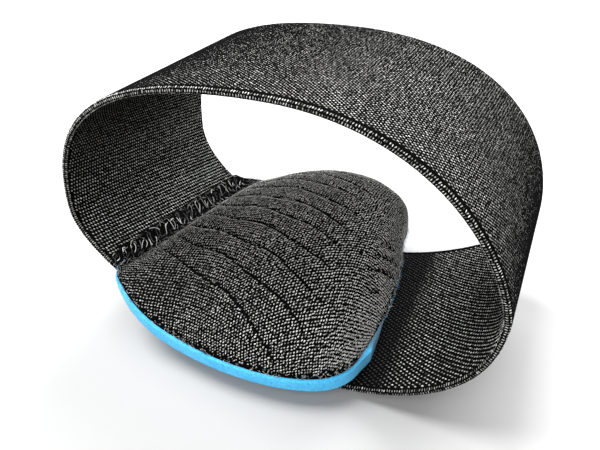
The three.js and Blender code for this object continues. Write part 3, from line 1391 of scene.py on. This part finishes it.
@dataclass
class KnitCover:
    """The pad's knitted cover, with sewn creases, gathers at the free end and the seam to the band.

    The bare pairs are the share of the stitches that a fold hides and the width that it hides them over.
    """

    form: PadForm
    creases: Creases = field(default_factory=Creases)
    seam: Seam = field(default_factory=Seam)
    billow: Billow = field(default_factory=Billow)
    puckers: tuple[Pucker, ...] = (
        Pucker(58.3, -2.5, 66.6, 6.9),
        Pucker(57.0, -8.9, 70.8, 7.8),
        Pucker(58.7, -11.3, 74.1, 6.9),
        Pucker(61.0, -14.0, 67.8, -7.1),
    )
    pucker_depth: float = 0.4
    fold_width: float = 0.45
    crease_hold: float = 1.4
    pucker_hold: float = 1.2
    seam_fade: tuple[float, float] = (0.2, 2.2)
    sewn_to: tuple[float, float] = (1.1, 1.6)
    hem_to: tuple[float, float] = (0.5, 3.0)
    ledge: float = 0.5
    wall: float = 1.1
    rows: int = 156
    columns: int = 205
    stitch_range: tuple[int, int] = (-20, 200)
    course_range: tuple[int, int] = (-80, 120)
    stitch_pitch: float = 0.58
    course_pitch: float = 0.65
    wale_slope: float = 0.055
    loose_run: float = 25.0
    loose_stretch: float = 1.3
    sway_start: float = 16.0
    sway_length: float = 26.0
    sway_bend: float = 0.0075
    # Painted light: the knit's tones rise towards the free end, where more light falls on the pad.
    painted_light_runs: tuple[float, float] = (22.0, 56.0)
    painted_light_least: float = 0.9
    painted_light_gain: float = 0.42
    stitch_jitter: float = 0.065
    stitch_lean_deg: float = 50.0
    lean_spread_deg: float = 14.0
    stitch_size: tuple[float, float, float] = (0.25, 0.155, 0.1)
    size_spread: float = 0.18
    tone_shape: tuple[float, float] = (2.7, 1.9)
    border: float = 0.7
    first_stitch: float = 0.3
    pucker_bare: tuple[float, float] = (0.5, 0.25)
    crease_bare: tuple[float, float] = (0.9, 0.15)
    edge_bare: float = 0.6
    edge_bare_to: tuple[float, float] = (0.6, 2.4)
    # Painted shade: stitches that folds, the seam and the cut edge partly hide are darkened by this share of
    # that hiding.
    painted_fold_shade: float = 0.6
    fringe_count: int = 620
    fringe_depth: float = 1.3
    fringe_start: float = 3.0
    fringe_end_share: float = 0.22
    fringe_radius: float = 0.05
    fringe_lengths: tuple[float, float] = (0.3, 0.9)
    fringe_tones: tuple[float, float] = (1.2, 2.0)
    fringe_crowding: float = 1.5
    fringe_lift: float = 0.1
    fringe_rise: float = 0.5
    fibre_tip: float = 0.4
    seed: int = 21

    def lay(self) -> ClothGrid:
        """Lays the cover's outer surface, with its creases, gathers, seam and swell.

        Returns:
            The grid of its points.
        """
        grid = ClothGrid.lay(self.form, self.rows, self.columns, self.ledge)
        run = np.broadcast_to(grid.runs[:, None], grid.overs.shape)
        edge = grid.edge_distance(run, grid.overs)
        crease = self.creases.mark(grid.points, edge, self.fold_width)
        gather = np.max([p.mark(run, grid.overs, self.fold_width) for p in self.puckers], axis=0)
        dent = self.creases.depth * crease + self.pucker_depth * gather
        dent = dent + self.seam.dent(run, grid.overs) * smoothstep(edge, *self.seam_fade)
        grid.points = grid.points - grid.normals() * dent[..., None]
        sewn = 1 - smoothstep(self.seam.depth(run, grid.overs), *self.sewn_to)
        hem = 1 - smoothstep(edge, *self.hem_to)
        held = np.max([crease * self.crease_hold, gather * self.pucker_hold, sewn, hem], axis=0)
        swell = self.billow.swell(grid, np.clip(held, 0.0, 1.0))
        grid.points = grid.points + grid.normals() * swell[..., None]
        return grid

    def sway(self, run: Array) -> Array:
        """How far the courses of the knit have turned towards the near edge, first bent, then straight.

        Args:
            run: Distance along the middle line.

        Returns:
            Distances across the cloth.
        """
        past = np.maximum(run - self.sway_start, 0.0)
        bent = np.minimum(past, self.sway_length)
        return self.sway_bend * (bent**2 + 2 * self.sway_length * (past - bent))

    def painted_light(self, run: Array) -> Array:
        """Painted light: how much lighter the knit is made towards the free end, where more light falls."""
        return self.painted_light_least + self.painted_light_gain * smoothstep(run, *self.painted_light_runs)

    def hidden(self, grid: ClothGrid, run: Array, over: Array, edge: Array) -> Array:
        """Share of the stitches that folds, the seam and the cut edge hide.

        Args:
            grid: The cover.
            run: Distance of each stitch along the middle line.
            over: Its distance from the middle line.
            edge: Its distance from the cut edge before stitches part at a crease.

        Returns:
            A share for each stitch, from 0 to 1.
        """
        share, width = self.pucker_bare
        marks = [share * pucker.mark(run, over, width) for pucker in self.puckers]
        share, width = self.crease_bare
        marks.append(share * self.creases.mark(grid.frames(run, over)[0], edge, width))
        marks.append(self.seam.bare(run, over))
        marks.append(self.edge_bare * (1 - smoothstep(edge, *self.edge_bare_to)))
        return np.max(marks, axis=0)

    def build_stitches(self, grid: ClothGrid) -> bpy.types.Object:
        """The bright legs of the knit, along curved courses.

        Args:
            grid: The cover.

        Returns:
            The new object.
        """
        draw = np.random.default_rng(self.seed)
        ranges = [np.arange(*ends) for ends in (self.stitch_range, self.course_range)]
        stitch, course = np.meshgrid(*ranges, indexing="ij")
        over = course.ravel() * self.course_pitch
        run = stitch.ravel() * self.stitch_pitch - self.wale_slope * over
        loose = self.loose_run + (run - self.loose_run) * self.loose_stretch
        run = np.where(run < self.loose_run, loose, run)
        over = over - self.sway(run)
        run, over = np.stack([run, over]) + draw.normal(0, self.stitch_jitter, (2, len(run)))
        edge = grid.edge_distance(run, over)
        inside = (run > self.first_stitch) & (edge > self.border)
        run, over, edge = run[inside], over[inside], edge[inside]
        over = over + self.creases.part(grid.frames(run, over)[0], edge)
        hidden = self.hidden(grid, run, over, edge)
        kept = draw.random(len(run)) > hidden
        run, over, hidden = run[kept], over[kept], hidden[kept]
        centre, forward, sideways, normal = grid.frames(run, over)
        lean = np.radians(self.stitch_lean_deg + draw.normal(0, self.lean_spread_deg, len(run)))[:, None]
        # Painted shade in folds and beside the seam, and painted light towards the free end.
        light = (1 - self.painted_fold_shade * hidden) * self.seam.painted_shade(run, over) * self.painted_light(run)
        stitches = Strands(
            centres=centre,
            along=unit(forward * np.cos(lean) + sideways * np.sin(lean)),
            out=normal,
            sizes=varied(self.stitch_size, self.size_spread, draw, len(run)),
            tone=draw.beta(*self.tone_shape, len(run)) * light,
        )
        return stitches.piece("pad_cover_stitches")

    def build_fringe(self, grid: ClothGrid) -> bpy.types.Object:
        """Short light fibres that stand out of the cover's cut edge.

        Args:
            grid: The cover.

        Returns:
            The new object.
        """
        draw = np.random.default_rng(self.seed + 1)
        count = self.fringe_count
        share = draw.random(count)
        depth = self.fringe_depth * draw.random(count) ** self.fringe_crowding
        run = self.fringe_start + share * (grid.runs[-1] - self.fringe_start)
        near = np.interp(run, grid.runs, grid.overs[:, 0]) + depth
        far = np.interp(run, grid.runs, grid.overs[:, -1]) - depth
        over = np.where(draw.random(count) < 0.5, near, far)
        at_end = draw.random(count) < self.fringe_end_share
        run = np.where(at_end, grid.runs[-1] - depth, run)
        over = np.where(at_end, (share - 0.5) * 2 * grid.overs[-1, -1], over)
        place, forward, sideways, normal = grid.frames(run, over)
        turn = draw.random((count, 1)) * 2 * math.pi
        way = unit(forward * np.cos(turn) + sideways * np.sin(turn) + self.fringe_rise * normal)
        lengths = draw.uniform(*self.fringe_lengths, count)
        paths = loose_fibres(place + self.fringe_lift * normal, way, lengths, draw)
        tones = draw.beta(*self.fringe_tones, count)
        return thread_piece("pad_cover_fringe", paths, self.fringe_radius, tones, self.fibre_tip)

    def build(self, grid: ClothGrid) -> tuple[bpy.types.Object, list[bpy.types.Object]]:
        """Makes and dresses the cover's sheet and the pieces that lie on it.

        Args:
            grid: The cover.

        Returns:
            The sheet, and a list of the others.
        """
        ground = GroundFinish("knit_ground", dark=(0.0012,) * 3, light=(0.004,) * 3).material()
        yarn = YarnFinish("knit_yarn", dark=(0.02,) * 3, light=(0.6, 0.595, 0.58)).material()
        thread = YarnFinish("seam_thread", dark=(0.01,) * 3, light=(0.85,) * 3).material()
        sheet = grid_piece("pad_cover_ground", grid.points, thickness=self.wall)
        dress(sheet, ground, "pad_cover")
        on_sheet = [
            dress(self.build_stitches(grid), yarn, "pad_cover"),
            dress(self.seam.build(grid), thread, "pad_cover"),
            dress(self.build_fringe(grid), thread, "pad_cover"),
        ]
        return sheet, on_sheet


@dataclass
class FoamCushion:
    """The blue foam under the cover, with a rounded rim that shows below it."""

    form: PadForm
    ledge: float
    far_tuck: float = 1.2
    clearance: float = 1.8
    seam_sink: float = 1.8
    sink_sections: tuple[float, float] = (2.2, 3.8)
    gap: float = 0.3
    lip: float = 0.1
    corner: float = 0.55
    corner_share: float = 0.45
    corner_steps: int = 6
    dome_steps: int = 41
    base_steps: int = 20
    end_shown: float = 0.6
    shown_across: tuple[float, float] = (-14.0, -2.0)
    shown_sections: tuple[float, float] = (10.2, 11.0)
    end_tucked: float = 1.5
    tucked_across: tuple[float, float] = (-6.0, 8.0)
    tucked_sections: tuple[float, float] = (8.4, 9.8)
    first_section: float = 1.0
    dense_section: float = 9.0
    last_section: float = 11.0
    plain_rings: int = 70
    dense_rings: int = 40
    fuzz_count: int = 600
    fuzz_start: float = 1.1
    fuzz_spread: float = 0.6
    fuzz_rise: float = 0.9
    fuzz_outward: float = 0.4
    fuzz_lengths: tuple[float, float] = (0.2, 0.45)
    fuzz_radius: float = 0.03
    fibre_tip: float = 0.4
    seed: int = 23

    def sink(self, at: float) -> float:
        """How far the foam keeps below the seam."""
        return self.seam_sink * float(1 - smoothstep(np.float64(at), *self.sink_sections))

    def walls(self, at: float) -> list[Array]:
        """The foam's walls at one section, from the top round the rim to the base.

        Args:
            at: Section number with a fraction.

        Returns:
            Points of the far wall and of the near wall.
        """
        ends = self.form.top(np.full(2, at), np.array([1.0, -1.0]), far_inset=self.far_tuck)
        walls = []
        for (x, y, z), way in zip(ends, (1.0, -1.0)):
            low = float(self.form.base(x))
            high = max(z - self.lip - (self.sink(at) if way > 0 else 0.0), low + self.lip)
            radius = min(self.corner, self.corner_share * (high - low))
            turn = np.linspace(0, math.pi / 2, self.corner_steps)
            early, late = radius * (1 - np.sin(turn)), radius * (1 - np.cos(turn))
            along = np.full(self.corner_steps, x)
            top = np.column_stack([along, y - way * early, high - late])
            bottom = np.column_stack([along, y - way * late, low + early])
            walls.append(np.vstack([top, bottom]))
        return walls

    def ring(self, at: float) -> Array:
        """One closed section of the foam: dome, near wall, underside and far wall.

        Args:
            at: Section number with a fraction.

        Returns:
            A row for each point, the last on the first.
        """
        steps = np.sin(np.linspace(math.pi / 2, -math.pi / 2, self.dome_steps))
        clear = self.clearance
        here = np.full_like(steps, at)
        dome = self.form.top(here, steps, self.ledge + clear, self.far_tuck + clear, clear)
        low = self.form.base(dome[:, 0]) + self.lip
        dome[:, 2] = np.maximum(dome[:, 2] - self.gap - self.sink(at), low)
        far_wall, near_wall = self.walls(at)
        share = np.linspace(0, 1, self.base_steps)[1:-1, None]
        base = near_wall[-1] * (1 - share) + far_wall[-1] * share
        base[:, 2] = self.form.base(base[:, 0])
        ring = np.vstack([far_wall[::-1], dome, near_wall, base, far_wall[-1:]])
        stop, across = np.float64(at), ring[:, 1]
        shown = (1 - smoothstep(across, *self.shown_across)) * smoothstep(stop, *self.shown_sections)
        tucked = smoothstep(across, *self.tucked_across) * smoothstep(stop, *self.tucked_sections)
        ring[:, 0] += self.end_shown * shown - self.end_tucked * tucked
        return ring

    def build_body(self) -> bpy.types.Object:
        """The cushion, lofted through its sections and closed to a point inside each end.

        Returns:
            The new object.
        """
        plain = np.linspace(self.first_section, self.dense_section, self.plain_rings)
        dense = np.linspace(self.dense_section, self.last_section, self.dense_rings)
        rings = np.array([self.ring(at) for at in (*plain, *dense[1:])])
        ends = [ring.mean(axis=0) + 0 * ring for ring in (rings[0], rings[-1])]
        return grid_piece("pad_foam_cushion", np.array([ends[0], *rings, ends[1]]), closed=True)

    def build_fuzz(self) -> bpy.types.Object:
        """Short blue fibres along the top of the foam's rim.

        Returns:
            The new object.
        """
        draw = np.random.default_rng(self.seed)
        roots, ways = [], []
        for at in draw.uniform(self.fuzz_start, self.last_section, self.fuzz_count):
            wall = self.walls(at)[int(draw.random() < 0.5)]
            roots.append(wall[draw.integers(0, 5)])
            outward = self.fuzz_outward * np.sign(roots[-1][1])
            ways.append(draw.normal(0, self.fuzz_spread, 3) + (0.0, outward, self.fuzz_rise))
        for _ in range(self.fuzz_count // 5):
            end = self.form.top(np.array([self.last_section]), draw.uniform(-1, 1, 1))[0]
            roots.append(end - (0.2, 0.0, 0.3))
            ways.append(draw.normal(0, self.fuzz_spread, 3) + (self.fuzz_outward, 0.0, self.fuzz_rise))
        roots = np.array(roots)
        lengths = draw.uniform(*self.fuzz_lengths, len(roots))
        paths = loose_fibres(roots, unit(np.array(ways)), lengths, draw)
        tones = draw.random(len(roots))
        return thread_piece("pad_foam_fuzz", paths, self.fuzz_radius, tones, self.fibre_tip)

    def build(self) -> bpy.types.Object:
        """Makes and dresses the cushion and its fibres.

        Returns:
            The cushion.
        """
        foam = FoamFinish("blue_foam", dark=(0.02, 0.3, 0.62), light=(0.11, 0.54, 0.84)).material()
        lint = YarnFinish("foam_fibre", dark=(0.02, 0.3, 0.62), light=(0.16, 0.6, 0.88)).material()
        cushion = dress(self.build_body(), foam, "pad_foam")
        dress(self.build_fuzz(), lint, "pad_foam")
        return cushion


@dataclass
class ArchPad:
    """The pad: a knitted cover with sewn creases over blue foam, sewn to the band."""

    form: PadForm = field(default_factory=PadForm)
    stretch: float = 1.15

    def build(self) -> None:
        """Makes every piece of the pad."""
        knit = KnitCover(self.form)
        grid = knit.lay()
        cover, on_cover = knit.build(grid)
        cushion = FoamCushion(self.form, knit.ledge).build()
        length = grid.runs[-1] * MM / self.stretch


# The studio


@dataclass(frozen=True)
class Lamp:
    """A soft square lamp."""

    name: str
    place: tuple[float, float, float]
    size: float
    power: float


@dataclass
class Studio:
    """A pale floor, soft lamps and the camera at the photograph's angle."""

    azimuth_deg: float = 26.02
    elevation_deg: float = 32.8
    distance: float = 125.01
    target: tuple[float, float, float] = (-2.1, 0.0, 19.75)
    lens: float = 32.74
    floor_size: float = 8000.0
    sky: float = 0.22
    lamps: tuple[Lamp, ...] = (
        Lamp("above", (-900.0, -100.0, 1900.0), 1300.0, 94.0),
        Lamp("front", (300.0, -1500.0, 1300.0), 1400.0, 36.0),
        Lamp("behind", (100.0, 1500.0, 1100.0), 1400.0, 98.0),
    )

    def build_camera(self) -> None:
        """Places the camera on its line of sight."""
        azimuth, elevation = math.radians(self.azimuth_deg), math.radians(self.elevation_deg)
        level = math.cos(elevation)
        back = Vector((math.sin(azimuth) * level, -math.cos(azimuth) * level, math.sin(elevation)))
        data = bpy.data.cameras.new("photo_camera")
        data.lens = self.lens
        data.clip_start = 0.005
        camera = bpy.data.objects.new("photo_camera", data)
        camera.location = (Vector(self.target) + back * self.distance) * MM
        camera.rotation_euler = back.to_track_quat("Z", "Y").to_euler()
        bpy.context.scene.collection.objects.link(camera)
        bpy.context.scene.camera = camera

    def build_floor(self) -> None:
        """Lays the floor, which isn't part of the strap."""
        sheet = bmesh.new()
        bmesh.ops.create_grid(sheet, x_segments=2, y_segments=2, size=self.floor_size / 2 * MM)
        mesh = bpy.data.meshes.new("floor")
        sheet.to_mesh(mesh)
        sheet.free()
        floor = piece_from_mesh("floor", mesh)
        floor.data.materials.append(FloorFinish().material())

    def build_lights(self) -> None:
        """Hangs the lamps and lights the sky evenly."""
        for lamp in self.lamps:
            data = bpy.data.lights.new(lamp.name, "AREA")
            data.size = lamp.size * MM
            data.energy = lamp.power
            light = bpy.data.objects.new(lamp.name, data)
            light.location = Vector(lamp.place) * MM
            light.rotation_euler = light.location.to_track_quat("Z", "Y").to_euler()
            bpy.context.scene.collection.objects.link(light)
        world = bpy.data.worlds.new("studio_sky")
        world.use_nodes = True
        background = world.node_tree.nodes["Background"]
        background.inputs["Color"].default_value = (1.0, 1.0, 1.0, 1.0)
        background.inputs["Strength"].default_value = self.sky
        bpy.context.scene.world = world

    def build(self) -> None:
        """Sets up the whole studio."""
        self.build_camera()
        self.build_floor()
        self.build_lights()
        bpy.context.scene.view_settings.view_transform = "Standard"


def main() -> None:
    """Builds the studio and the strap, piece by piece."""
    logging.basicConfig(level=logging.INFO, format="%(name)s: %(message)s")
    Studio().build()
    ElasticBand().build()
    ArchPad().build()


if __name__ == "__main__":
    main()
